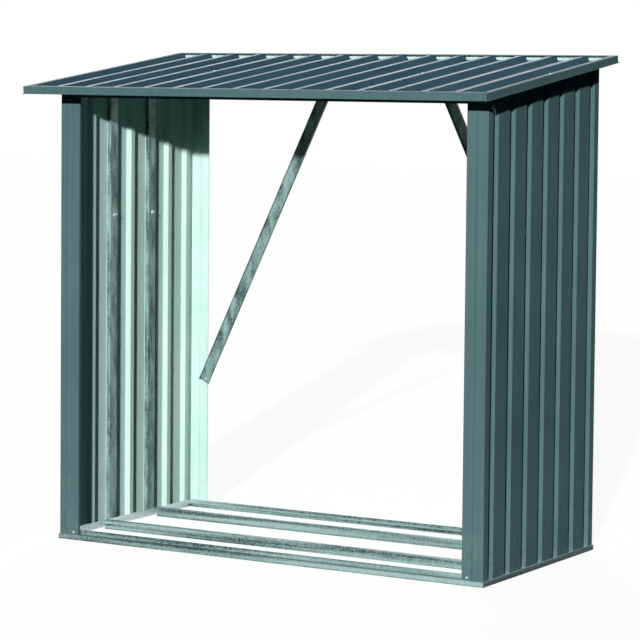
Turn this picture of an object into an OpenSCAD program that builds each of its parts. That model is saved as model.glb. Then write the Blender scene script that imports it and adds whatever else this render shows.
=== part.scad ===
// Open steel log store: ribbed sheet walls and roof on a folded galvanised base.
// Width runs along X, the open front faces -Y, and the roof rises to the back.

/* [Overall] */
// Width over the roof trims
roof_w = 1630; // [1200:1:2000]
// Depth over the roof trims, in plan
roof_d = 880; // [700:1:1100]
// Height of the rear roof edge
overall_h = 1540; // [1200:1:1900]
// Slope of the roof, rising to the back, in degrees
roof_slope = 7.5; // [4:0.1:12]

/* [Walls] */
// Width over the outer faces of the corner posts
wall_w = 1505; // [1100:1:1880]
// Depth over the outer faces of the corner posts
wall_d = 740; // [600:1:950]
// How far the roof reaches in front of the front posts
front_overhang = 123.5; // [60:0.5:160]
// How far a wall panel laps past the middle of the rib that it shares with the next panel
wall_lap = 7; // [3:0.5:8]

/* [Ribbed sheet] */
// Thickness of the wall and roof sheet
sheet_t = 0.8; // [0.5:0.1:1.2]
// Nominal distance from rib to rib
rib_pitch = 107; // [80:1:140]
// Width of a rib across its top
rib_top = 20; // [18:0.5:24]
// Sideways run of each rib flank
rib_run = 7.5; // [3:0.5:9]
// Height of a rib
rib_h = 15; // [8:0.5:20]

/* [Folds] */
// Inside radius of every fold in the sheet
bend_r = 1; // [0.5:0.1:1.4]

/* [Corner posts] */
// Thickness of the corner posts
post_t = 0.8; // [0.5:0.1:1.2]
// Width of a post's front or rear face
post_face = 70; // [50:1:100]
// Width of a post's side leg
post_leg = 30; // [20:1:45]
// Depth of the return along a front post's inner edge
post_return = 10; // [4:0.5:16]
// Width of the hem along a rear post's inner edge
post_hem = 10; // [4:0.5:16]
// Distance of the pressed swage from the post's outer corner
swage_at = 29.5; // [20:0.5:40]
// Width of the swage at its foot
swage_w = 16; // [11:0.5:20]
// Sideways run of each flank of the swage
swage_run = 3.8; // [2.5:0.1:4.6]
// Height of the swage
swage_h = 2; // [0.5:0.1:2.5]

/* [Base] */
// Thickness of the base and floor rails
rail_t = 1.2; // [0.8:0.1:2]
// Height of the base rails
base_h = 30; // [22:0.5:45]
// Height of the outer lip under the ledge that carries the walls
base_lip = 16; // [8:0.5:20]
// How far the base stands out past the corner posts
base_proud = 3; // [2:0.5:8]
// Distance of each floor rail from the middle of the base
floor_rail_at = 148.5; // [80:0.5:220]
// Width of a floor rail's flanges
floor_flange = 15; // [10:0.5:40]

/* [Frame under the roof] */
// Thickness of the roof beams and top rails
beam_t = 1; // [0.8:0.1:2]
// Depth of the front beam's web
front_beam_h = 31; // [15:0.5:40]
// Depth of the rear beam's web
rear_beam_h = 35; // [25:0.5:50]
// Width of the beam flanges under the roof
beam_flange = 25; // [15:0.5:28]
// Depth of the side top rails
top_rail_h = 25; // [15:0.5:40]

/* [Seam channels] */
// Thickness of the seam channels
seam_t = 1; // [0.6:0.1:1.5]
// Width of a seam channel
seam_w = 41; // [40:0.5:60]
// Depth of a seam channel
seam_d = 13; // [8:0.5:15]

/* [Roof trims] */
// Thickness of the roof trims
trim_t = 1; // [0.6:0.1:1.5]
// Height of a trim's face
trim_h = 22; // [18:0.5:40]
// Width of a trim's flange on the rib crests
trim_flange = 20; // [12:0.5:30]
// Drip lip at a trim's lower edge
trim_lip = 4; // [2:0.5:8]
// Distance of the outermost rib's centre from the sheet's edge
verge_rib = 6.2; // [2:0.1:8]
// How far a roof panel laps past the middle of the rib that it shares with the next panel
roof_lap = 7; // [3:0.5:8]

/* [Braces] */
// Thickness of the braces
brace_t = 1; // [0.8:0.1:2]
// Width of a brace's web
brace_w = 38; // [20:0.5:45]
// Depth of a brace's flanges
brace_d = 10; // [5:0.5:16]
// How far a brace's foot laps onto its rear post
brace_foot_lap = 13; // [0:0.5:25]
// Height of a brace's foot
brace_foot_z = 432; // [200:1:700]
// Distance of a brace's head from the middle
brace_head_x = 183; // [80:1:400]
// How far a brace's head laps onto the rear beam
brace_head_lap = 15; // [8:0.5:25]

/* [Clearances] */
// Gap between pieces that lie end to end
fit_gap = 0.3; // [0.1:0.1:0.8]
// How far each mitred end of the base rails is cut back
mitre_gap = 0.3; // [0.1:0.1:0.8]
// How far each mitred end of the roof trims is cut back
trim_gap = 2.5; // [0.3:0.1:3]

/* [Hidden] */

paint = "#44595f";
zinc = "#b4bfc0";

// The walls stand behind the front overhang
wall_front_y = -roof_d / 2 + front_overhang;
wall_rear_y = wall_front_y + wall_d;
wall_mid_y = (wall_front_y + wall_rear_y) / 2;

// The sheet's flats lie against the inner side of the post legs, and its ribs stand inwards
flat_in_x = wall_w / 2 - post_t - sheet_t;
lapped_rib_x = flat_in_x - rib_h - sheet_t;
rib_base = rib_top + 2 * rib_run;
wall_end = post_t + bend_r + fit_gap;

// Ribs of a wall, shared out between the ends of the post legs
wall_ribs_span = wall_d - 2 * (post_leg + fit_gap) - rib_base;
wall_pitches = round(wall_ribs_span / rib_pitch);
wall_pitch = wall_ribs_span / wall_pitches;
wall_ribs = [for (i = [0 : wall_pitches]) wall_mid_y + (i - wall_pitches / 2) * wall_pitch];
wall_panels = 3;
front_seam = round(wall_pitches / wall_panels);
rear_seam = wall_pitches - front_seam;

// The base frame: its ledge carries the sheet and the seam channels clear of the upstand's fold
base_x = wall_w / 2 + base_proud;
base_front_y = wall_front_y - base_proud;
base_rear_y = wall_rear_y + base_proud;
ledge_d = base_x - lapped_rib_x + seam_t + bend_r;
upstand_in_x = base_x - ledge_d - rail_t;

// The roof is laid out in its own frame: x across, y up the slope, z square to the sheet.
// Its highest line is where the rear trim begins to fold down
roof_front_y = -roof_d / 2 + max(0, trim_lip * cos(roof_slope) - trim_h * sin(roof_slope));
roof_len = (roof_d / 2 - roof_front_y - (trim_h + trim_t) * sin(roof_slope)) / cos(roof_slope) - trim_lip;
roof_front_z = overall_h - (roof_len - trim_t - bend_r) * sin(roof_slope);
roof_half = roof_w / 2 - trim_lip;
pan_top = -trim_t - rib_h - sheet_t;
pan_under = pan_top - sheet_t;
wall_top = pan_under - beam_t;

// Ribs of the roof, from verge to verge, on sheet that ends clear of the trims' folds
roof_end = trim_t + bend_r + fit_gap;
sheet_half = roof_half - roof_end;
roof_ribs_span = 2 * (sheet_half - verge_rib);
roof_pitches = round(roof_ribs_span / rib_pitch);
roof_pitch = roof_ribs_span / roof_pitches;
roof_panels = 5;
roof_ribs = [for (i = [0 : roof_pitches]) -roof_ribs_span / 2 + i * roof_pitch];

// Height of a plane parallel to the roof, above a point of the plan
function roof_z(y, level) = roof_front_z + (y - roof_front_y) * tan(roof_slope) + level / cos(roof_slope);

// Place up the slope, on a plane parallel to the roof, of a point of the plan
function up_slope(y, level) = (y - roof_front_y + level * sin(roof_slope)) / cos(roof_slope);

front_web_y = wall_front_y + post_t;
rear_web_y = wall_rear_y - post_t;
beam_half = wall_w / 2 - post_t - max(sheet_t, bend_r) - fit_gap;
brace_y = rear_web_y - beam_t;
cut_size = 2 * (roof_w + overall_h);
cut_room = 1;
bend_steps = 3;

// One fold of a sheet's face between points a and b, for a sheet that lies to the left by t
function fold_arc(a, p, b, t) =
    let (
        u = (p - a) / norm(p - a),
        v = (b - p) / norm(b - p),
        turn = atan2(cross(u, v), u * v),
        r = sign(turn) * (turn * t > 0 ? bend_r + abs(t) : bend_r),
        centre = p - u * abs(r) * tan(abs(turn) / 2) + r * [-u[1], u[0]]
    )
    [
        for (i = [0 : bend_steps])
            let (part = turn * i / bend_steps)
            centre + r * [u[0] * sin(part) + u[1] * cos(part), u[1] * sin(part) - u[0] * cos(part)]
    ];
function bent(path, t) =
    concat(
        [path[0]],
        [for (i = [1 : len(path) - 2]) each fold_arc(path[i - 1], path[i], path[i + 1], t)],
        [path[len(path) - 1]]
    );

// A folded sheet: the path of one face, bent and then thickened to the left of its direction
function left_of(a, b) = [a[1] - b[1], b[0] - a[0]] / norm(b - a);
function offset_point(path, i, t) =
    let (
        last = len(path) - 1,
        before = left_of(path[max(i, 1) - 1], path[max(i, 1)]),
        after = left_of(path[min(i, last - 1)], path[min(i, last - 1) + 1])
    )
    path[i] + t * (before + after) / (1 + before * after);
function thickened(face, t) =
    concat(face, [for (i = [len(face) - 1 : -1 : 0]) offset_point(face, i, t)]);
function folded(path, t) = thickened(bent(path, t), t);

// One rib of a sheet, and the rib face of a whole panel from one end to the other
function rib_path(centre, h) = [
    [centre - rib_base / 2, 0],
    [centre - rib_top / 2, h],
    [centre + rib_top / 2, h],
    [centre + rib_base / 2, 0]
];
function sheet_path(from, to, ribs) =
    concat(
        [from],
        [for (r = ribs) for (p = rib_path(r[0], r[1])) if (p[0] > from[0] && p[0] < to[0]) p],
        [to]
    );

module on_roof() {
    translate([0, roof_front_y, roof_front_z]) rotate([roof_slope, 0, 0]) children();
}

module above_roof_level(level) {
    on_roof() translate([-cut_size / 2, -cut_size / 2, level]) cube(cut_size);
}

module mirrored_if(flip) {
    if (flip) mirror([1, 0, 0]) children();
    else children();
}

module along_x(length) {
    rotate([90, 0, 90]) linear_extrude(height = length, center = true) children();
}

module along_y(from, to) {
    translate([0, to, 0]) rotate([90, 0, 0]) linear_extrude(height = to - from) children();
}

// A bar along X with mitred ends; its outer face is at y = 0 and its inside towards +Y
module mitred_bar(length, reach_out, reach_in, low, high, gap) {
    far_out = reach_out + cut_room;
    far_in = reach_in + cut_room;
    intersection() {
        along_x(length + 2 * far_out) children();
        translate([0, 0, low - cut_room]) linear_extrude(height = high - low + 2 * cut_room) polygon([
            [-length / 2 - far_out + gap, -far_out],
            [length / 2 + far_out - gap, -far_out],
            [length / 2 - far_in - gap, far_in],
            [-length / 2 + far_in + gap, far_in]
        ]);
    }
}

module base_bar(length) {
    mitred_bar(length, 0, ledge_d + rail_t, 0, base_h, mitre_gap)
        polygon(folded([[0, 0], [0, base_lip], [ledge_d, base_lip], [ledge_d, base_h]], -rail_t));
}

module base_front_rail() {
    color(zinc) translate([0, base_front_y, 0]) base_bar(2 * base_x);
}

module base_rear_rail() {
    color(zinc) translate([0, base_rear_y, 0]) rotate(180) base_bar(2 * base_x);
}

module base_side_rail(flip) {
    color(zinc) mirrored_if(flip)
        translate([base_x, wall_mid_y, 0]) rotate(90) base_bar(base_rear_y - base_front_y);
}

module floor_rail(y) {
    color(zinc) translate([0, y - floor_flange / 2, 0]) along_x(2 * (upstand_in_x - fit_gap))
        polygon(folded([[floor_flange, 0], [0, 0], [0, base_h], [floor_flange, base_h]], -rail_t));
}

// The face of a post from its outer corner, with the swage pressed outwards
function post_path(inner_edge) =
    let (corner = wall_w / 2, face = wall_front_y)
    concat(
        [[corner, face + post_leg], [corner, face]],
        [
            [corner - swage_at + swage_w / 2, face],
            [corner - swage_at + swage_w / 2 - swage_run, face - swage_h],
            [corner - swage_at - swage_w / 2 + swage_run, face - swage_h],
            [corner - swage_at - swage_w / 2, face]
        ],
        inner_edge
    );

module post_blank() {
    difference() {
        translate([0, 0, base_lip]) linear_extrude(height = overall_h) children();
        above_roof_level(wall_top);
    }
}

// Room for the beam's web where it passes behind the post's inner edge
module beam_notch(from_y, to_y, web_h, wide) {
    edge = wall_w / 2 - post_face;
    low = roof_z((from_y + to_y) / 2, pan_under) - web_h - fit_gap;
    translate([edge - cut_room, from_y, low]) cube([wide + 2 * cut_room, to_y - from_y, cut_size]);
}

module front_post(flip) {
    edge = wall_w / 2 - post_face;
    color(paint) mirrored_if(flip) difference() {
        post_blank()
            polygon(folded(post_path([[edge, wall_front_y], [edge, wall_front_y + post_return]]), -post_t));
        beam_notch(front_web_y, front_web_y + post_return, front_beam_h, post_t);
    }
}

// A rear post's section: its inner edge is folded flat against the back of the face
function hemmed(path, t, hem) =
    let (face = bent(path, -t), last = len(face) - 1, edge = face[last])
    concat(
        [for (i = [0 : last - 1]) face[i]],
        [for (i = [0 : 2 * bend_steps]) let (a = 90 * i / bend_steps) edge + t * [1 - sin(a), 1 - cos(a)]],
        [edge + [hem, 2 * t], edge + [hem, t]],
        [for (i = [last - 1 : -1 : 0]) offset_point(face, i, -t)]
    );

module rear_post(flip) {
    edge = wall_w / 2 - post_face;
    color(paint) mirrored_if(flip) difference() {
        post_blank() translate([0, 2 * wall_mid_y]) mirror([0, 1])
            polygon(hemmed(post_path([[edge, wall_front_y]]), post_t, post_hem));
        beam_notch(rear_web_y - 2 * post_t, rear_web_y, rear_beam_h, post_hem);
    }
}

// A wall panel between two ends along Y, each [place, rib height there]
module wall_panel(flip, from, to, ribs) {
    color(paint) mirrored_if(flip) difference() {
        translate([0, 0, base_lip]) linear_extrude(height = overall_h)
            polygon([for (p = folded(sheet_path(from, to, ribs), -sheet_t)) [flat_in_x - p[1], p[0]]]);
        above_roof_level(wall_top);
    }
}

module wall_front_panel(flip) {
    ribs = [for (i = [0 : front_seam]) [wall_ribs[i], rib_h]];
    wall_panel(flip, [wall_front_y + wall_end, 0], [wall_ribs[front_seam] + wall_lap, rib_h], ribs);
}

module wall_middle_panel(flip) {
    ribs = [
        for (i = [front_seam : rear_seam])
            [wall_ribs[i], i == front_seam || i == rear_seam ? rib_h + sheet_t : rib_h]
    ];
    wall_panel(
        flip,
        [wall_ribs[front_seam] - wall_lap, rib_h + sheet_t],
        [wall_ribs[rear_seam] + wall_lap, rib_h + sheet_t],
        ribs
    );
}

module wall_rear_panel(flip) {
    ribs = [for (i = [rear_seam : wall_pitches]) [wall_ribs[i], rib_h]];
    wall_panel(flip, [wall_ribs[rear_seam] - wall_lap, rib_h], [wall_rear_y - wall_end, 0], ribs);
}

module seam_channel(flip, y) {
    web_x = lapped_rib_x - seam_t;
    color(zinc) mirrored_if(flip) difference() {
        translate([web_x, y, base_lip]) linear_extrude(height = overall_h)
            polygon(folded([
                [seam_d, -seam_w / 2],
                [0, -seam_w / 2],
                [0, seam_w / 2],
                [seam_d, seam_w / 2]
            ], -seam_t));
        above_roof_level(pan_under - top_rail_h - fit_gap);
    }
}

module front_roof_beam() {
    top = roof_z(front_web_y, pan_under);
    end_y = front_web_y + beam_flange;
    color(paint) along_x(2 * beam_half)
        polygon(folded([
            [front_web_y, top - front_beam_h],
            [front_web_y, top],
            [end_y, roof_z(end_y, pan_under)]
        ], -beam_t));
}

module rear_roof_beam() {
    top = roof_z(rear_web_y, pan_under);
    end_y = rear_web_y - beam_flange;
    color(paint) along_x(2 * beam_half)
        polygon(folded([
            [rear_web_y, top - rear_beam_h],
            [rear_web_y, top],
            [end_y, roof_z(end_y, pan_under)]
        ], beam_t));
}

module top_rail(flip) {
    from = up_slope(front_web_y + beam_flange, pan_under) + fit_gap;
    to = up_slope(rear_web_y - beam_flange, pan_under) - fit_gap;
    leg_x = lapped_rib_x - bend_r - beam_t;
    color(zinc) mirrored_if(flip) on_roof() along_y(from, to)
        polygon(folded([
            [flat_in_x + sheet_t, pan_under],
            [leg_x, pan_under],
            [leg_x, pan_under - top_rail_h]
        ], beam_t));
}

// Roof panels lap at a shared rib: the left edge lies over the panel before it
module roof_panel(i) {
    first = round(i * roof_pitches / roof_panels);
    last = round((i + 1) * roof_pitches / roof_panels);
    over = rib_h + sheet_t;
    at_end = last == roof_pitches;
    from = i == 0 ? -sheet_half : roof_ribs[first] - roof_lap;
    to = at_end ? sheet_half : roof_ribs[last] + roof_lap;
    ribs = [for (k = [first : last]) [roof_ribs[k], k == first || (at_end && k == last) ? over : rib_h]];
    color(paint) on_roof() along_y(roof_end, roof_len - roof_end)
        translate([0, pan_top])
            polygon(folded(sheet_path([from, over], [to, at_end ? over : rib_h], ribs), -sheet_t));
}

module trim_bar(length) {
    mitred_bar(length, trim_lip, trim_flange, -trim_h - trim_t, 0, trim_gap)
        polygon(folded([[-trim_lip, -trim_h], [0, -trim_h], [0, 0], [trim_flange, 0]], -trim_t));
}

module front_fascia() {
    color(paint) on_roof() trim_bar(2 * roof_half);
}

module rear_roof_trim() {
    color(paint) on_roof() translate([0, roof_len, 0]) rotate(180) trim_bar(2 * roof_half);
}

module verge_trim(flip) {
    color(paint) mirrored_if(flip) on_roof()
        translate([roof_half, roof_len / 2, 0]) rotate(90) trim_bar(roof_len);
}

module brace(flip) {
    foot_x = wall_w / 2 - post_face + brace_foot_lap;
    head_z = roof_z(rear_web_y, pan_under) - rear_beam_h + brace_head_lap;
    run = foot_x - brace_head_x;
    rise = head_z - brace_foot_z;
    color(zinc) mirrored_if(flip) translate([foot_x, brace_y, brace_foot_z])
        rotate([0, -atan2(run, rise), 0]) linear_extrude(height = norm([run, rise]))
            polygon(folded([
                [-brace_w / 2, -brace_d],
                [-brace_w / 2, 0],
                [brace_w / 2, 0],
                [brace_w / 2, -brace_d]
            ], -brace_t));
}

base_front_rail();
base_rear_rail();
base_side_rail(true);  // base_left_rail
base_side_rail(false);  // base_right_rail
floor_rail(wall_mid_y - floor_rail_at);  // floor_rail_front
floor_rail(wall_mid_y + floor_rail_at);  // floor_rail_rear
front_post(true);  // front_left_post
front_post(false);  // front_right_post
rear_post(true);  // rear_left_post
rear_post(false);  // rear_right_post
wall_front_panel(true);  // left_wall_front_panel
wall_middle_panel(true);  // left_wall_middle_panel
wall_rear_panel(true);  // left_wall_rear_panel
wall_front_panel(false);  // right_wall_front_panel
wall_middle_panel(false);  // right_wall_middle_panel
wall_rear_panel(false);  // right_wall_rear_panel
seam_channel(true, wall_ribs[front_seam]);  // left_front_seam_channel
seam_channel(true, wall_ribs[rear_seam]);  // left_rear_seam_channel
seam_channel(false, wall_ribs[front_seam]);  // right_front_seam_channel
seam_channel(false, wall_ribs[rear_seam]);  // right_rear_seam_channel
front_roof_beam();
rear_roof_beam();
top_rail(true);  // left_top_rail
top_rail(false);  // right_top_rail
roof_panel(0);  // roof_panel_1
roof_panel(1);  // roof_panel_2
roof_panel(2);  // roof_panel_3
roof_panel(3);  // roof_panel_4
roof_panel(4);  // roof_panel_5
front_fascia();
rear_roof_trim();
verge_trim(true);  // left_verge_trim
verge_trim(false);  // right_verge_trim
brace(true);  // left_brace
brace(false);  // right_brace
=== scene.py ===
import math
import bpy
import bmesh
from mathutils import Matrix, Vector


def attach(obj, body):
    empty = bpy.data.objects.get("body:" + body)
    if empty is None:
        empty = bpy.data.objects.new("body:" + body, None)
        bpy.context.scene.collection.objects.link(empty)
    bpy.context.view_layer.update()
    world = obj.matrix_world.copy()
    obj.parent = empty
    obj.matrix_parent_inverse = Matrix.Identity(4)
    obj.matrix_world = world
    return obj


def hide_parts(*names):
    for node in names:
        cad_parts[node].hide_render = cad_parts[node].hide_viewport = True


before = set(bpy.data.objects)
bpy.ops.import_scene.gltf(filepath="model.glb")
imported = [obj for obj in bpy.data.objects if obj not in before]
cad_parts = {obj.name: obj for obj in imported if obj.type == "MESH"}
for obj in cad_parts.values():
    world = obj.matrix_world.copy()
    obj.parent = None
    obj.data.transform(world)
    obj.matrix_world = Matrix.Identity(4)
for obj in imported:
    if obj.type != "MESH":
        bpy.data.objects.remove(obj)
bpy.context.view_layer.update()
print("frame loaded")

# sizes that several pieces share, in metres
store = {
    "roofWidth": 1.63, "roofDepth": 0.88, "height": 1.54, "slope": math.radians(7.5),
    "wallWidth": 1.505, "wallDepth": 0.74, "frontOverhang": 0.1235,
    "foldRadius": 0.001, "foldSegments": 3, "foldRoom": 0.48,
    "fitGap": 0.0003, "touching": 1e-6, "sharpAngle": math.radians(42),
}

# the ribbed sheet of the walls and the roof
sheet = {"thickness": 0.0008, "ribTop": 0.020, "ribRun": 0.0075, "ribHeight": 0.015, "lap": 0.007}

# the folded trims round the roof, which set where its sheet begins
trim = {"thickness": 0.001, "height": 0.022, "flange": 0.020, "lip": 0.004, "mitreGap": 0.0025}

fold, gap = store["foldRadius"], store["fitGap"]
wallHalf = store["wallWidth"] / 2
frontY = -store["roofDepth"] / 2 + store["frontOverhang"]
rearY = frontY + store["wallDepth"]
midY = (frontY + rearY) / 2
sine, cosine = math.sin(store["slope"]), math.cos(store["slope"])
roofFrontY = -store["roofDepth"] / 2 + max(0, trim["lip"] * cosine - trim["height"] * sine)
roofReach = store["roofDepth"] / 2 - roofFrontY - (trim["height"] + trim["thickness"]) * sine
roofLength = roofReach / cosine - trim["lip"]
roofFrontZ = store["height"] - (roofLength - trim["thickness"] - fold) * sine
roofHalf = store["roofWidth"] / 2 - trim["lip"]
roofFrame = Matrix.Translation((0, roofFrontY, roofFrontZ)) @ Matrix.Rotation(store["slope"], 4, "X")
roofNormal = roofFrame.to_3x3() @ Vector((0, 0, 1))


def roofPoint(x, along, level):
    return roofFrame @ Vector((x, along, level))


def roofZ(y, level):
    return roofFrontZ + (y - roofFrontY) * sine / cosine + level / cosine


def upSlope(y, level):
    return (y - roofFrontY + level * sine) / cosine


def roofCut(level):
    return (roofPoint(0, 0, level), roofNormal)


def wholeOf(bm):
    return bm.verts[:] + bm.edges[:] + bm.faces[:]


def newGroup(name, inputs, outputs):
    tree = bpy.data.node_groups.new(name, "ShaderNodeTree")
    for label, kind, value in inputs:
        made = tree.interface.new_socket(name=label, in_out="INPUT", socket_type=kind)
        made.default_value = value
    for label, kind in outputs:
        tree.interface.new_socket(name=label, in_out="OUTPUT", socket_type=kind)
    return tree, tree.nodes.new("NodeGroupInput"), tree.nodes.new("NodeGroupOutput")


def addNode(tree, kind, **values):
    made = tree.nodes.new(kind)
    for key, value in values.items():
        setattr(made, key, value)
    return made


def noiseNode(tree, vector, scale, detail=3.0, rough=0.5):
    made = addNode(tree, "ShaderNodeTexNoise")
    made.inputs["Scale"].default_value = scale
    made.inputs["Detail"].default_value = detail
    made.inputs["Roughness"].default_value = rough
    tree.links.new(vector, made.inputs["Vector"])
    return made.outputs["Fac"]


def stretched(tree, vector, scale):
    made = addNode(tree, "ShaderNodeMapping")
    made.inputs["Scale"].default_value = scale
    tree.links.new(vector, made.inputs["Vector"])
    return made.outputs["Vector"]


def ranged(tree, value, low, high, toLow=0.0, toHigh=1.0):
    made = addNode(tree, "ShaderNodeMapRange")
    for key, number in (("From Min", low), ("From Max", high), ("To Min", toLow), ("To Max", toHigh)):
        made.inputs[key].default_value = number
    tree.links.new(value, made.inputs["Value"])
    return made.outputs["Result"]


def mathNode(tree, kind, a, b):
    made = addNode(tree, "ShaderNodeMath", operation=kind)
    for socket, value in zip(made.inputs, (a, b)):
        if isinstance(value, (int, float)):
            socket.default_value = value
        else:
            tree.links.new(value, socket)
    return made.outputs["Value"]


def mixColour(tree, factor, a, b):
    made = addNode(tree, "ShaderNodeMix", data_type="RGBA")
    tree.links.new(factor, made.inputs[0])
    for socket, value in ((made.inputs[6], a), (made.inputs[7], b)):
        if isinstance(value, tuple):
            socket.default_value = value
        else:
            tree.links.new(value, socket)
    return made.outputs[2]


# baked paint on sheet: slow fading, rain streaks down the sheet, dust near the ground, fine skin
paintField = {
    "fadeScale": 3.2, "fadeRange": (0.35, 0.68), "fadeShare": 0.55,
    "streakStretch": (70, 70, 1.6), "streakRange": (0.42, 0.72),
    "dustTop": 0.28, "dustScale": 46, "dustRange": (0.44, 0.66),
    "roughness": 0.26, "fadedRough": 0.1, "dustRough": 0.3,
    "skinScale": 620, "skinShare": 0.06, "sagStretch": (9, 9, 2.4),
}


def paintGroup():
    tree, given, out = newGroup(
        "paintFilm",
        [
            ("Paint", "NodeSocketColor", (0.1, 0.15, 0.16, 1)),
            ("Faded", "NodeSocketColor", (0.13, 0.19, 0.2, 1)),
            ("Dust", "NodeSocketColor", (0.3, 0.3, 0.28, 1)),
            ("Streaks", "NodeSocketFloat", 0.3),
            ("Dust Amount", "NodeSocketFloat", 0.3),
        ],
        [
            ("Color", "NodeSocketColor"),
            ("Roughness", "NodeSocketFloat"),
            ("Height", "NodeSocketFloat"),
        ],
    )
    place = addNode(tree, "ShaderNodeTexCoord").outputs["Object"]
    slow = ranged(tree, noiseNode(tree, place, paintField["fadeScale"], 4), *paintField["fadeRange"])
    runs = noiseNode(tree, stretched(tree, place, paintField["streakStretch"]), 1.0, 3)
    streak = ranged(tree, runs, *paintField["streakRange"])
    streaked = mathNode(tree, "MULTIPLY", streak, given.outputs["Streaks"])
    fade = mathNode(tree, "ADD", mathNode(tree, "MULTIPLY", slow, paintField["fadeShare"]), streaked)
    film = mixColour(tree, fade, given.outputs["Paint"], given.outputs["Faded"])
    split = addNode(tree, "ShaderNodeSeparateXYZ")
    tree.links.new(place, split.inputs[0])
    low = ranged(tree, split.outputs["Z"], 0.0, paintField["dustTop"], 1.0, 0.0)
    grit = noiseNode(tree, place, paintField["dustScale"], 6, 0.65)
    settled = mathNode(tree, "MULTIPLY", low, ranged(tree, grit, *paintField["dustRange"]))
    dust = mathNode(tree, "MULTIPLY", settled, given.outputs["Dust Amount"])
    tree.links.new(mixColour(tree, dust, film, given.outputs["Dust"]), out.inputs["Color"])
    dulled = mathNode(
        tree, "ADD",
        mathNode(tree, "MULTIPLY", slow, paintField["fadedRough"]),
        mathNode(tree, "MULTIPLY", dust, paintField["dustRough"]),
    )
    tree.links.new(mathNode(tree, "ADD", dulled, paintField["roughness"]), out.inputs["Roughness"])
    pores = noiseNode(tree, place, paintField["skinScale"], 2)
    skin = mathNode(tree, "MULTIPLY", pores, paintField["skinShare"])
    sag = noiseNode(tree, stretched(tree, place, paintField["sagStretch"]), 1.0, 1)
    tree.links.new(mathNode(tree, "ADD", skin, sag), out.inputs["Height"])
    return tree


# hot-dip zinc: bands drawn out along the sheet, faint crystal cells, and dark flecks where it has dulled
zincField = {
    "bandRange": (0.36, 0.64), "bandShare": 0.65, "cellShare": 0.15, "cellRelief": 0.2,
    "speckScale": 180, "speckRange": (0.4, 0.6), "speckShare": 0.2,
    "fleckScale": 170, "fleckRange": (0.5, 0.6), "fleckBands": (0.15, 0.7),
    "roughDark": 0.5, "roughBright": 0.3,
}


def zincGroup():
    tree, given, out = newGroup(
        "zincSpangle",
        [
            ("Bright", "NodeSocketColor", (0.6, 0.66, 0.66, 1)),
            ("Dark", "NodeSocketColor", (0.28, 0.34, 0.34, 1)),
            ("Cell Scale", "NodeSocketFloat", 90.0),
            ("Flecks", "NodeSocketFloat", 0.5),
            ("Band Scale", "NodeSocketVector", (16.0, 16.0, 6.0)),
        ],
        [
            ("Color", "NodeSocketColor"),
            ("Roughness", "NodeSocketFloat"),
            ("Height", "NodeSocketFloat"),
        ],
    )
    place = addNode(tree, "ShaderNodeTexCoord").outputs["Object"]
    cells = addNode(tree, "ShaderNodeTexVoronoi")
    tree.links.new(place, cells.inputs["Vector"])
    tree.links.new(given.outputs["Cell Scale"], cells.inputs["Scale"])
    tone = addNode(tree, "ShaderNodeSeparateColor")
    tree.links.new(cells.outputs["Color"], tone.inputs["Color"])
    drawn = addNode(tree, "ShaderNodeVectorMath", operation="MULTIPLY")
    tree.links.new(place, drawn.inputs[0])
    tree.links.new(given.outputs["Band Scale"], drawn.inputs[1])
    bands = noiseNode(tree, drawn.outputs["Vector"], 1.0, 4, 0.55)
    band = ranged(tree, bands, *zincField["bandRange"])
    grit = noiseNode(tree, place, zincField["speckScale"], 4, 0.7)
    speck = ranged(tree, grit, *zincField["speckRange"])
    grain = mathNode(
        tree, "ADD",
        mathNode(tree, "MULTIPLY", tone.outputs["Red"], zincField["cellShare"]),
        mathNode(tree, "MULTIPLY", speck, zincField["speckShare"]),
    )
    mixed = mathNode(tree, "ADD", grain, mathNode(tree, "MULTIPLY", band, zincField["bandShare"]))
    spots = noiseNode(tree, place, zincField["fleckScale"], 3, 0.6)
    fleck = ranged(tree, spots, *zincField["fleckRange"])
    dull = mathNode(tree, "MULTIPLY", fleck, ranged(tree, band, *zincField["fleckBands"], 1.0, 0.0))
    worn = mathNode(tree, "MULTIPLY", dull, given.outputs["Flecks"])
    tint = mathNode(tree, "SUBTRACT", mixed, worn)
    colour = mixColour(tree, tint, given.outputs["Dark"], given.outputs["Bright"])
    rough = ranged(tree, mixed, 0.0, 1.0, zincField["roughDark"], zincField["roughBright"])
    relief = mathNode(tree, "MULTIPLY", tone.outputs["Green"], zincField["cellRelief"])
    tree.links.new(colour, out.inputs["Color"])
    tree.links.new(rough, out.inputs["Roughness"])
    tree.links.new(relief, out.inputs["Height"])
    return tree


paintFilm = paintGroup()
zincSpangle = zincGroup()


def material(name, tree, inputs, metallic, specular, bump):
    made = bpy.data.materials.new(name)
    made.use_nodes = True
    nodes = made.node_tree
    shader = nodes.nodes["Principled BSDF"]
    field = nodes.nodes.new("ShaderNodeGroup")
    field.node_tree = tree
    for key, value in inputs.items():
        field.inputs[key].default_value = value
    relief = nodes.nodes.new("ShaderNodeBump")
    relief.inputs["Strength"].default_value = bump[0]
    relief.inputs["Distance"].default_value = bump[1]
    nodes.links.new(field.outputs["Color"], shader.inputs["Base Color"])
    nodes.links.new(field.outputs["Roughness"], shader.inputs["Roughness"])
    nodes.links.new(field.outputs["Height"], relief.inputs["Height"])
    nodes.links.new(relief.outputs["Normal"], shader.inputs["Normal"])
    shader.inputs["Metallic"].default_value = metallic
    shader.inputs["Specular IOR Level"].default_value = specular
    return made


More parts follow.
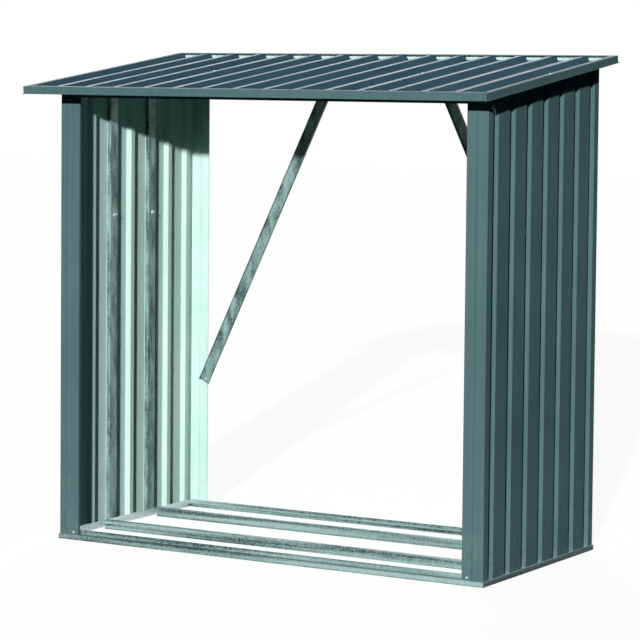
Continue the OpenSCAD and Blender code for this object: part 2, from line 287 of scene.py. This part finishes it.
paintBump, zincBump, boltBump = (0.25, 0.002), (0.2, 0.0008), (0.1, 0.0004)
slateCoat = {
    "Paint": (0.075, 0.142, 0.15, 1), "Faded": (0.102, 0.185, 0.193, 1),
    "Dust": (0.24, 0.28, 0.27, 1), "Dust Amount": 0.25, "Streaks": 0.35,
}
paleCoat = {
    "Paint": (0.5, 0.715, 0.645, 1), "Faded": (0.64, 0.79, 0.745, 1),
    "Dust": (0.4, 0.5, 0.46, 1), "Dust Amount": 0.25, "Streaks": 0.3,
}
# the roof's darker, bluer coat is its paint colour with a painted reflection of a dark sky on the
# upward-facing sheet
roofCoatWithSkyReflection = {
    "Paint": (0.04, 0.1, 0.142, 1), "Faded": (0.057, 0.136, 0.182, 1),
    "Dust": (0.2, 0.25, 0.27, 1), "Dust Amount": 0.0, "Streaks": 0.2,
}
slatePaint = material("slate_paint", paintFilm, slateCoat, 0.0, 0.0, paintBump)
trimPaint = material("trim_paint", paintFilm, slateCoat, 0.0, 0.003, paintBump)
backCoat = material("back_coat", paintFilm, paleCoat, 0.0, 0.0, paintBump)
roofPaint = material("roof_paint", paintFilm, roofCoatWithSkyReflection, 0.0, 0.014, paintBump)

# the zinc's bands run along each piece; the side rails get painted shade on their outer faces and a
# painted reflection inside the bay, a shaded and a lit copy of one zinc
bandsAcross, bandsDeep, bandsUp = (1.2, 9.0, 80.0), (9.0, 1.2, 80.0), (36.0, 36.0, 9.0)
railLook = {
    "Bright": (0.38, 0.55, 0.53, 1), "Dark": (0.03, 0.066, 0.063, 1),
    "Flecks": 0.45, "Cell Scale": 120.0, "Band Scale": bandsAcross,
}
# painted shade: a darker, matt copy of the rail zinc for the side rails' outer faces
paintedShadeLook = {
    "Bright": (0.26, 0.34, 0.36, 1), "Dark": (0.08, 0.115, 0.125, 1),
    "Flecks": 0.45, "Cell Scale": 120.0, "Band Scale": bandsDeep,
}
# painted reflection: a near-white, mirror-like copy of the rail zinc for the inside of the bay
paintedReflectionLook = {
    "Bright": (0.88, 0.97, 0.96, 1), "Dark": (0.5, 0.62, 0.61, 1),
    "Flecks": 0.3, "Cell Scale": 120.0, "Band Scale": bandsDeep,
}
uprightLook = {
    "Bright": (0.34, 0.5, 0.48, 1), "Dark": (0.045, 0.095, 0.09, 1),
    "Flecks": 0.3, "Cell Scale": 120.0, "Band Scale": bandsUp,
}
boltLook = {
    "Bright": (0.75, 0.8, 0.8, 1), "Dark": (0.5, 0.55, 0.55, 1),
    "Flecks": 0.0, "Cell Scale": 260.0,
}
railZinc = material("galvanised_rail", zincSpangle, railLook, 0.12, 0.2, zincBump)
paintedShadeZinc = material("galvanised_painted_shade", zincSpangle, paintedShadeLook, 0.0, 0.0, zincBump)
paintedReflectionZinc = material("galvanised_painted_reflection", zincSpangle, paintedReflectionLook, 0.75, 0.3, zincBump)
zinc = material("galvanised", zincSpangle, uprightLook, 0.12, 0.2, zincBump)
plated = material("plated_bolt", zincSpangle, boltLook, 0.8, 0.5, boltBump)
print("materials made")


def onLine(offset, direction):
    return offset.cross(direction).length < store["touching"]


# how far each fold reaches along the sheet's drawn face, which is outside or inside the fold
def foldReaches(path, side, thickness):
    ahead = (path[1] - path[0]).normalized()
    flat = [Vector((p.dot(ahead), p.dot(side.normalized()))) for p in path]
    reaches = []
    for a, p, b in zip(flat, flat[1:], flat[2:]):
        turn = (p - a).angle(b - p)
        outside = (p - a).x * (b - p).y - (p - a).y * (b - p).x > 0
        radius = fold + thickness if outside else fold
        room = store["foldRoom"] * min((p - a).length, (b - p).length)
        reaches.append(round(min(radius * math.tan(turn / 2), room), 7))
    return reaches


# a line of a few points is swept into a strip, its folds are rounded and its ends cut
# then the strip is thickened
def foldedSheet(name, path, sweep, side, thickness, faces, cuts=(), place=None, notch=None):
    bm = bmesh.new()
    line = [bm.verts.new(p) for p in path]
    edges = [bm.edges.new(pair) for pair in zip(line, line[1:])]
    grown = bmesh.ops.extrude_edge_only(bm, edges=edges)["geom"]
    swept = [g for g in grown if isinstance(g, bmesh.types.BMVert)]
    bmesh.ops.translate(bm, verts=swept, vec=sweep)
    bmesh.ops.recalc_face_normals(bm, faces=bm.faces)
    bm.normal_update()
    first = next(f for f in bm.faces if line[0] in f.verts)
    if first.normal.dot(side) > 0:
        bmesh.ops.reverse_faces(bm, faces=bm.faces[:])
    along = sweep.normalized()
    reaches = foldReaches(path, side, thickness)
    for reach in sorted(set(reaches), reverse=True):
        corners = [p for p, r in zip(path[1:-1], reaches) if r == reach]
        folds = [
            e for e in bm.edges
            if len(e.link_faces) == 2
            and any(all(onLine(v.co - c, along) for v in e.verts) for c in corners)
        ]
        bmesh.ops.bevel(
            bm, geom=folds, offset=reach, offset_type="OFFSET", segments=store["foldSegments"],
            profile=0.5, affect="EDGES", material=-1,
        )
    if place is not None:
        bmesh.ops.transform(bm, matrix=place, verts=bm.verts)
    for point, normal in cuts:
        bmesh.ops.bisect_plane(bm, geom=wholeOf(bm), plane_co=point, plane_no=normal, clear_outer=True)
    if notch is not None:
        notch(bm)
    bm.normal_update()
    for face in bm.faces:
        face.material_index = 0
    drawn = set(bm.faces)
    made = bmesh.ops.solidify(bm, geom=bm.faces[:], thickness=thickness)["geom"]
    for face in made:
        if isinstance(face, bmesh.types.BMFace):
            cutEdge = any(other in drawn for e in face.edges for other in e.link_faces)
            face.material_index = 0 if cutEdge else 1
    bmesh.ops.recalc_face_normals(bm, faces=bm.faces)
    piece = newPiece(name, bm, faces)
    flats = piece.modifiers.new("flats", "WEIGHTED_NORMAL")  # shades the flats flat
    flats.keep_sharp = True
    return piece


def newPiece(name, bm, faces):
    mesh = bpy.data.meshes.new(name)
    bm.to_mesh(mesh)
    bm.free()
    mesh.shade_smooth()
    mesh.set_sharp_from_angle(angle=store["sharpAngle"])
    piece = bpy.data.objects.new(name, mesh)
    bpy.context.scene.collection.objects.link(piece)
    for look in faces:
        mesh.materials.append(look)
    return piece


def standsFor(piece, node):
    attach(piece, "root")
    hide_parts(node)


# sections of the posts, the beams and the seam channels
post = {
    "thickness": 0.0008, "face": 0.070, "leg": 0.030, "inner": 0.010,
    "swageAt": 0.0295, "swageWidth": 0.016, "swageRun": 0.0038, "swageHeight": 0.0020,
    "hemShare": 0.9,
}
beam = {"thickness": 0.001, "frontWeb": 0.031, "rearWeb": 0.035, "flange": 0.025}
seam = {"thickness": 0.001, "width": 0.041, "depth": 0.013}

# levels square to the roof, and faces of the wall sheet
ribH, overH = sheet["ribHeight"], sheet["ribHeight"] + sheet["thickness"]
panTop = -trim["thickness"] - overH
panUnder = panTop - sheet["thickness"]
wallTop = panUnder - beam["thickness"]
flatInX = wallHalf - post["thickness"] - sheet["thickness"]
lappedRibX = flatInX - overH
ribBase = sheet["ribTop"] + 2 * sheet["ribRun"]
zincBoth, railBoth, sideShadeAndReflection = (zinc, zinc), (railZinc, railZinc), (paintedShadeZinc, paintedReflectionZinc)

base = {
    "thickness": 0.0012, "height": 0.030, "lip": 0.016, "proud": 0.003,
    "mitreGap": 0.0003, "facesUp": 0.9,
}
baseX = wallHalf + base["proud"]
ledge = baseX - lappedRibX + seam["thickness"] + fold


# planes that mitre both ends of a bar along X
def mitres(place, half):
    turned = place.to_3x3()
    return [
        (place @ Vector((sign * half, 0, 0)), turned @ Vector((sign, 1, 0)).normalized())
        for sign in (1, -1)
    ]


def turn(angle):
    return Matrix.Rotation(angle, 4, "Z")


def baseRail(node, length, place, faces):
    path = [
        Vector((-length / 2, y, z))
        for y, z in ((0, 0), (0, base["lip"]), (ledge, base["lip"]), (ledge, base["height"]))
    ]
    piece = foldedSheet(
        node + ".look", path, Vector((length, 0, 0)), Vector((0, 1, 0)), base["thickness"], faces,
        mitres(place, length / 2 - base["mitreGap"]), place,
    )
    # on the side rails, faces pointing up take the painted-reflection zinc: painted highlights along the
    # ledges and at the groove feet
    for face in piece.data.polygons:
        if face.normal.z > base["facesUp"]:
            face.material_index = 1  # ledges keep the inside's look
    standsFor(piece, node)


sideLong = rearY - frontY + 2 * base["proud"]
for node, length, x, y, angle, faces in (
    ("base_front_rail", 2 * baseX, 0, frontY - base["proud"], 0, railBoth),
    ("base_rear_rail", 2 * baseX, 0, rearY + base["proud"], math.pi, railBoth),
    ("base_right_rail", sideLong, baseX, midY, math.pi / 2, sideShadeAndReflection),
    ("base_left_rail", sideLong, -baseX, midY, -math.pi / 2, sideShadeAndReflection),
):
    baseRail(node, length, Matrix.Translation((x, y, 0)) @ turn(angle), faces)

floorRail = {"at": 0.1485, "flange": 0.015}
for node, y in (
    ("floor_rail_front", midY - floorRail["at"]),
    ("floor_rail_rear", midY + floorRail["at"]),
):
    half = baseX - ledge - base["thickness"] - gap
    near, far = y - floorRail["flange"] / 2, y + floorRail["flange"] / 2
    path = [
        Vector((-half, *yz))
        for yz in ((far, 0), (near, 0), (near, base["height"]), (far, base["height"]))
    ]
    piece = foldedSheet(
        node + ".look", path, Vector((2 * half, 0, 0)), Vector((0, 0, 1)), base["thickness"], railBoth,
    )
    standsFor(piece, node)
print("base made")


# a front post's inner edge turns in, and a rear post's is folded flat on itself
def cornerPost(node, flip, rear):
    edge, wide = wallHalf - post["face"], post["swageWidth"] / 2
    at, run, tall = wallHalf - post["swageAt"], post["swageRun"], post["swageHeight"]
    points = [
        (wallHalf, post["leg"]), (wallHalf, 0),
        (at + wide, 0), (at + wide - run, -tall), (at - wide + run, -tall), (at - wide, 0), (edge, 0),
    ]
    hem = 2 * post["thickness"] + gap
    points += [(edge, hem), (edge + post["inner"], hem)] if rear else [(edge, post["inner"])]
    faceY, inward = (rearY, -1) if rear else (frontY, 1)
    path = [Vector((-x if flip else x, faceY + inward * y, base["lip"])) for x, y in points]
    low = roofZ(faceY, panUnder) - (beam["rearWeb"] if rear else beam["frontWeb"]) - gap

    # the folded inner edge stops under the beam
    def clearBeam(bm):
        def turnedIn(face):
            middle = face.calc_center_median()
            return abs(middle.y - faceY) > post["thickness"] and abs(middle.x) < edge + post["inner"]

        near = [f for f in bm.faces if turnedIn(f)]
        corners, sides = {v for f in near for v in f.verts}, {e for f in near for e in f.edges}
        parts = list(corners) + list(sides) + near
        bmesh.ops.bisect_plane(bm, geom=parts, plane_co=(0, 0, low), plane_no=(0, 0, 1))
        gone = [f for f in bm.faces if f.calc_center_median().z > low and turnedIn(f)]
        bmesh.ops.delete(bm, geom=gone, context="FACES")

    piece = foldedSheet(
        node + ".look", path, Vector((0, 0, store["height"])), Vector((1 if flip else -1, 0, 0)),
        post["thickness"], (slatePaint, backCoat), [roofCut(wallTop)], None, clearBeam,
    )
    for face in piece.data.polygons:
        deep = abs(face.center.y - faceY)
        if rear and deep > hem * post["hemShare"] and abs(face.center.x) < edge + post["inner"]:
            face.material_index = 1  # the flat fold shows the sheet's pale side
    standsFor(piece, node)


cornerPost("front_left_post", True, False)
cornerPost("front_right_post", False, False)
cornerPost("rear_left_post", True, True)
cornerPost("rear_right_post", False, True)
print("posts made")

wall = {"pitches": 6, "frontSeam": 2, "rearSeam": 4}
ribSpan = rearY - frontY - 2 * (post["leg"] + gap) - ribBase
wallRibs = [midY + (i / wall["pitches"] - 0.5) * ribSpan for i in range(wall["pitches"] + 1)]
frontSeam, rearSeam = wallRibs[wall["frontSeam"]], wallRibs[wall["rearSeam"]]


def ribLine(centre, height):
    foot, top = ribBase / 2, sheet["ribTop"] / 2
    return [(centre - foot, 0), (centre - top, height), (centre + top, height), (centre + foot, 0)]


def sheetLine(start, end, ribs):
    inside = [p for centre, height in ribs for p in ribLine(centre, height) if start[0] < p[0] < end[0]]
    return [start] + inside + [end]


def wallPanel(node, sign, start, end, ribs):
    path = [Vector((sign * (flatInX - h), y, base["lip"])) for y, h in sheetLine(start, end, ribs)]
    piece = foldedSheet(
        node + ".look", path, Vector((0, 0, store["height"])), Vector((sign, 0, 0)), sheet["thickness"],
        (backCoat, slatePaint), [roofCut(wallTop)],
    )
    standsFor(piece, node)


for hand, sign in (("left", -1), ("right", 1)):
    inset = post["thickness"] + fold + gap
    wallPanel(
        hand + "_wall_front_panel", sign, (frontY + inset, 0), (frontSeam + sheet["lap"], ribH),
        [(y, ribH) for y in wallRibs[:wall["frontSeam"] + 1]],
    )
    wallPanel(
        hand + "_wall_middle_panel", sign,
        (frontSeam - sheet["lap"], overH), (rearSeam + sheet["lap"], overH),
        [(frontSeam, overH), (midY, ribH), (rearSeam, overH)],
    )
    wallPanel(
        hand + "_wall_rear_panel", sign, (rearSeam - sheet["lap"], ribH), (rearY - inset, 0),
        [(y, ribH) for y in wallRibs[wall["rearSeam"]:]],
    )

topRail = {"depth": 0.025}
for hand, sign in (("left", -1), ("right", 1)):
    for where, y in (("front", frontSeam), ("rear", rearSeam)):
        node = hand + "_" + where + "_seam_channel"
        webX, half = lappedRibX - seam["thickness"], seam["width"] / 2
        path = [
            Vector((sign * x, y + dy, base["lip"]))
            for x, dy in (
                (webX + seam["depth"], -half), (webX, -half), (webX, half), (webX + seam["depth"], half),
            )
        ]
        piece = foldedSheet(
            node + ".look", path, Vector((0, 0, store["height"])), Vector((0, 1, 0)), seam["thickness"],
            zincBoth, [roofCut(panUnder - topRail["depth"] - gap)],
        )
        standsFor(piece, node)
print("walls made")

beamHalf = wallHalf - post["thickness"] - max(sheet["thickness"], fold) - gap
# the roof beams take the dark slate paint on both sides: painted shade for the dark band under the
# fascia
for node, webY, web, inward in (
    ("front_roof_beam", frontY + post["thickness"], beam["frontWeb"], 1),
    ("rear_roof_beam", rearY - post["thickness"], beam["rearWeb"], -1),
):
    endY, top = webY + inward * beam["flange"], roofZ(webY, panUnder)
    path = [
        Vector((-beamHalf, *yz))
        for yz in ((webY, top - web), (webY, top), (endY, roofZ(endY, panUnder)))
    ]
    piece = foldedSheet(
        node + ".look", path, Vector((2 * beamHalf, 0, 0)), Vector((0, inward, 0)), beam["thickness"],
        (slatePaint, slatePaint),
    )
    standsFor(piece, node)

railFrom = upSlope(frontY + post["thickness"] + beam["flange"], panUnder) + gap
railTo = upSlope(rearY - post["thickness"] - beam["flange"], panUnder) - gap
for hand, sign in (("left", -1), ("right", 1)):
    legX = lappedRibX - fold - beam["thickness"]
    path = [
        Vector((sign * x, railFrom, z))
        for x, z in (
            (flatInX + sheet["thickness"], panUnder), (legX, panUnder),
            (legX, panUnder - topRail["depth"]),
        )
    ]
    piece = foldedSheet(
        hand + "_top_rail.look", path, Vector((0, railTo - railFrom, 0)), Vector((0, 0, -1)),
        beam["thickness"], zincBoth, (), roofFrame,
    )
    standsFor(piece, hand + "_top_rail")
print("roof frame made")

roofSheet = {"panels": 5, "pitches": 15, "vergeRib": 0.0062}
roofEnd = trim["thickness"] + fold + gap
sheetHalf = roofHalf - roofEnd
roofRibSpan = 2 * (sheetHalf - roofSheet["vergeRib"])
roofRibs = [(i / roofSheet["pitches"] - 0.5) * roofRibSpan for i in range(roofSheet["pitches"] + 1)]
perPanel = roofSheet["pitches"] // roofSheet["panels"]
for i in range(roofSheet["panels"]):
    firstRib, lastRib = perPanel * i, perPanel * (i + 1)
    atEnd = lastRib == roofSheet["pitches"]
    start = -sheetHalf if i == 0 else roofRibs[firstRib] - sheet["lap"]
    end = sheetHalf if atEnd else roofRibs[lastRib] + sheet["lap"]
    ribs = [
        (roofRibs[k], overH if k == firstRib or (atEnd and k == lastRib) else ribH)
        for k in range(firstRib, lastRib + 1)
    ]
    line = sheetLine((start, overH), (end, overH if atEnd else ribH), ribs)
    path = [Vector((x, roofEnd, panTop + h)) for x, h in line]
    node = "roof_panel_%d" % (i + 1)
    piece = foldedSheet(
        node + ".look", path, Vector((0, roofLength - 2 * roofEnd, 0)), Vector((0, 0, -1)),
        sheet["thickness"], (roofPaint, backCoat), (), roofFrame,
    )
    standsFor(piece, node)


def trimBar(node, length, place):
    start = -length / 2 - trim["lip"]
    path = [
        Vector((start, y, z))
        for y, z in (
            (-trim["lip"], -trim["height"]), (0, -trim["height"]), (0, 0), (trim["flange"], 0),
        )
    ]
    whole = roofFrame @ place
    piece = foldedSheet(
        node + ".look", path, Vector((-2 * start, 0, 0)), Vector((0, 0, -1)), trim["thickness"],
        (trimPaint, backCoat), mitres(whole, length / 2 - trim["mitreGap"]), whole,
    )
    standsFor(piece, node)


rightEdge = Matrix.Translation((roofHalf, roofLength / 2, 0)) @ turn(math.pi / 2)
leftEdge = Matrix.Translation((-roofHalf, roofLength / 2, 0)) @ turn(-math.pi / 2)
trimBar("front_fascia", 2 * roofHalf, Matrix())
trimBar("rear_roof_trim", 2 * roofHalf, Matrix.Translation((0, roofLength, 0)) @ turn(math.pi))
trimBar("right_verge_trim", roofLength, rightEdge)
trimBar("left_verge_trim", roofLength, leftEdge)
print("roof made")

brace = {
    "thickness": 0.001, "width": 0.038, "depth": 0.010,
    "footLap": 0.013, "footZ": 0.432, "headX": 0.183, "headLap": 0.015,
}
braceY = rearY - post["thickness"] - beam["thickness"]
footX = wallHalf - post["face"] + brace["footLap"]
headZ = roofZ(rearY - post["thickness"], panUnder) - beam["rearWeb"] + brace["headLap"]


def braceEnds(sign, y):
    return Vector((sign * footX, y, brace["footZ"])), Vector((sign * brace["headX"], y, headZ))


for hand, sign in (("left", -1), ("right", 1)):
    foot, head = braceEnds(sign, braceY)
    run = head - foot
    acrossBar = Vector((run.normalized().z, 0, -run.normalized().x))
    half, back = brace["width"] / 2, Vector((0, brace["depth"], 0))
    path = [
        foot - acrossBar * half - back, foot - acrossBar * half,
        foot + acrossBar * half, foot + acrossBar * half - back,
    ]
    piece = foldedSheet(hand + "_brace.look", path, run, acrossBar, brace["thickness"], zincBoth)
    standsFor(piece, hand + "_brace")
print("braces made")

fastener = {
    "washer": 0.0068, "washerThick": 0.001, "washerSides": 24,
    "head": 0.0052, "headTall": 0.004, "headTaper": 0.94, "headSides": 6,
    "stud": 0.0028, "studTall": 0.011, "studTaper": 0.9, "studSides": 16,
    "screw": 0.0042, "screwTall": 0.0022, "screwTaper": 0.62, "screwSides": 20,
    "seamZ": 1.015, "footX": 0.700, "footZ": 0.024, "endIn": 0.010,
    "roofAlong": 0.42, "roofRib": 11, "vergeIn": 0.010,
}
metalwork = bmesh.new()


# one turned or six-sided stage of a fastener, standing on a face
def stage(kind, point, outward, tall, lift=0.0, taper=1.0):
    turnTo = Vector(outward).to_track_quat("Z", "Y").to_matrix().to_4x4()
    place = Matrix.Translation(point) @ turnTo @ Matrix.Translation((0, 0, lift + tall / 2))
    bmesh.ops.create_cone(
        metalwork, cap_ends=True, segments=fastener[kind + "Sides"],
        radius1=fastener[kind], radius2=fastener[kind] * taper, depth=tall, matrix=place,
    )


def hexHead(point, outward, stud=False):
    thick = fastener["washerThick"]
    stage("washer", point, outward, thick)
    stage("head", point, outward, fastener["headTall"], thick, fastener["headTaper"])
    if stud:
        stage("stud", point, outward, fastener["studTall"], 0.0, fastener["studTaper"])


def panHead(point, outward):
    stage("screw", point, outward, fastener["screwTall"], 0.0, fastener["screwTaper"])


for sign in (-1, 1):
    for y in (frontSeam, rearSeam):
        hexHead((sign * (lappedRibX - seam["thickness"]), y, fastener["seamZ"]), (-sign, 0, 0), True)
        hexHead((sign * (flatInX - ribH + sheet["thickness"]), y, fastener["seamZ"]), (sign, 0, 0))
    panHead((sign * fastener["footX"], frontY, fastener["footZ"]), (0, -1, 0))
    foot, head = braceEnds(sign, braceY - brace["thickness"])
    step = (head - foot).normalized() * fastener["endIn"]
    hexHead(foot + step, (0, -1, 0))
    hexHead(head - step, (0, -1, 0))
    ribX, vergeX = roofRibs[fastener["roofRib"]], roofHalf - fastener["vergeIn"]
    panHead(roofPoint(sign * ribX, fastener["roofAlong"], panTop + ribH), roofNormal)
    panHead(roofPoint(sign * vergeX, fastener["roofAlong"], 0), roofNormal)
fixings = newPiece("fixings.look", metalwork, [plated])
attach(fixings, "root")
print("fixings made")

studio = {
    "keyStrength": 4.0, "keyAngle": 1.5, "keyFrom": (0.38, -1.0, 0.24),
    "fillStrength": 1.7, "fillAngle": 60.0, "fillFrom": (-0.75, 0.75, 0.28),
    "ambient": 0.024, "ambientTint": (0.22, 0.95, 1.05),
    "floorTone": (0.2, 0.2, 0.2, 1), "floorBounce": (0.028, 0.045, 0.047, 1),
    "floorGlow": 0.905, "floorRough": 0.9, "floorHalf": 30,
}
for lamp in ("key", "fill"):
    bpy.ops.object.light_add(type="SUN")
    sun = bpy.context.object
    sun.data.energy = studio[lamp + "Strength"]
    sun.data.angle = math.radians(studio[lamp + "Angle"])
    sun.rotation_mode = "QUATERNION"
    sun.rotation_quaternion = Vector(studio[lamp + "From"]).to_track_quat("Z", "Y")


# the pale backdrop is for the eye and for reflections, and lights nothing
def seenPlainly(tree):
    rays = tree.nodes.new("ShaderNodeLightPath")
    glossy, through = rays.outputs["Is Glossy Ray"], rays.outputs["Is Transmission Ray"]
    mirrored = mathNode(tree, "MAXIMUM", glossy, through)
    return mathNode(tree, "MAXIMUM", rays.outputs["Is Camera Ray"], mirrored)


world = bpy.data.worlds.new("studio")
bpy.context.scene.world = world
world.use_nodes = True
sky = world.node_tree
background = sky.nodes["Background"]
background.inputs["Color"].default_value = studio["ambientTint"] + (1,)
background.inputs["Strength"].default_value = studio["ambient"]
white = sky.nodes.new("ShaderNodeBackground")
white.inputs["Color"].default_value = (1, 1, 1, 1)
both = sky.nodes.new("ShaderNodeMixShader")
sky.links.new(seenPlainly(sky), both.inputs["Fac"])
sky.links.new(background.outputs["Background"], both.inputs[1])
sky.links.new(white.outputs["Background"], both.inputs[2])
sky.links.new(both.outputs["Shader"], sky.nodes["World Output"].inputs["Surface"])

floorMesh = bmesh.new()
bmesh.ops.create_grid(floorMesh, x_segments=1, y_segments=1, size=studio["floorHalf"])
pale = bpy.data.materials.new("studio_floor")
pale.use_nodes = True
paleShader = pale.node_tree.nodes["Principled BSDF"]
paleShader.inputs["Roughness"].default_value = studio["floorRough"]
paleShader.inputs["Specular IOR Level"].default_value = 0.0
paleShader.inputs["Emission Color"].default_value = (1, 1, 1, 1)
seen = seenPlainly(pale.node_tree)
tone = mixColour(pale.node_tree, seen, studio["floorBounce"], studio["floorTone"])
pale.node_tree.links.new(tone, paleShader.inputs["Base Color"])
glow = mathNode(pale.node_tree, "MULTIPLY", seen, studio["floorGlow"])
pale.node_tree.links.new(glow, paleShader.inputs["Emission Strength"])
floor = newPiece("studio_floor", floorMesh, [pale])

camera = {
    "place": (4.262, -7.1179, 1.478), "yaw": 0.5233, "pitch": 0.0631, "roll": 0.0103,
    "lens": 150.68, "sensor": 36, "shift": (-0.065, -0.1216),
}
yaw, pitch, roll = camera["yaw"], camera["pitch"], camera["roll"]
ahead = Vector((-math.sin(yaw) * math.cos(pitch), math.cos(yaw) * math.cos(pitch), -math.sin(pitch)))
level = Vector((math.cos(yaw), math.sin(yaw), 0))
upright = level.cross(ahead)
rightWay = level * math.cos(roll) + upright * math.sin(roll)
upWay = upright * math.cos(roll) - level * math.sin(roll)
bpy.ops.object.camera_add()
eye = bpy.context.object
axes = Matrix((rightWay, upWay, -ahead)).transposed()
eye.matrix_world = Matrix.Translation(camera["place"]) @ axes.to_4x4()
eye.data.sensor_width = camera["sensor"]
eye.data.lens = camera["lens"]
eye.data.shift_x, eye.data.shift_y = camera["shift"]
bpy.context.scene.camera = eye
bpy.context.scene.view_settings.view_transform = "Standard"
print("studio made")
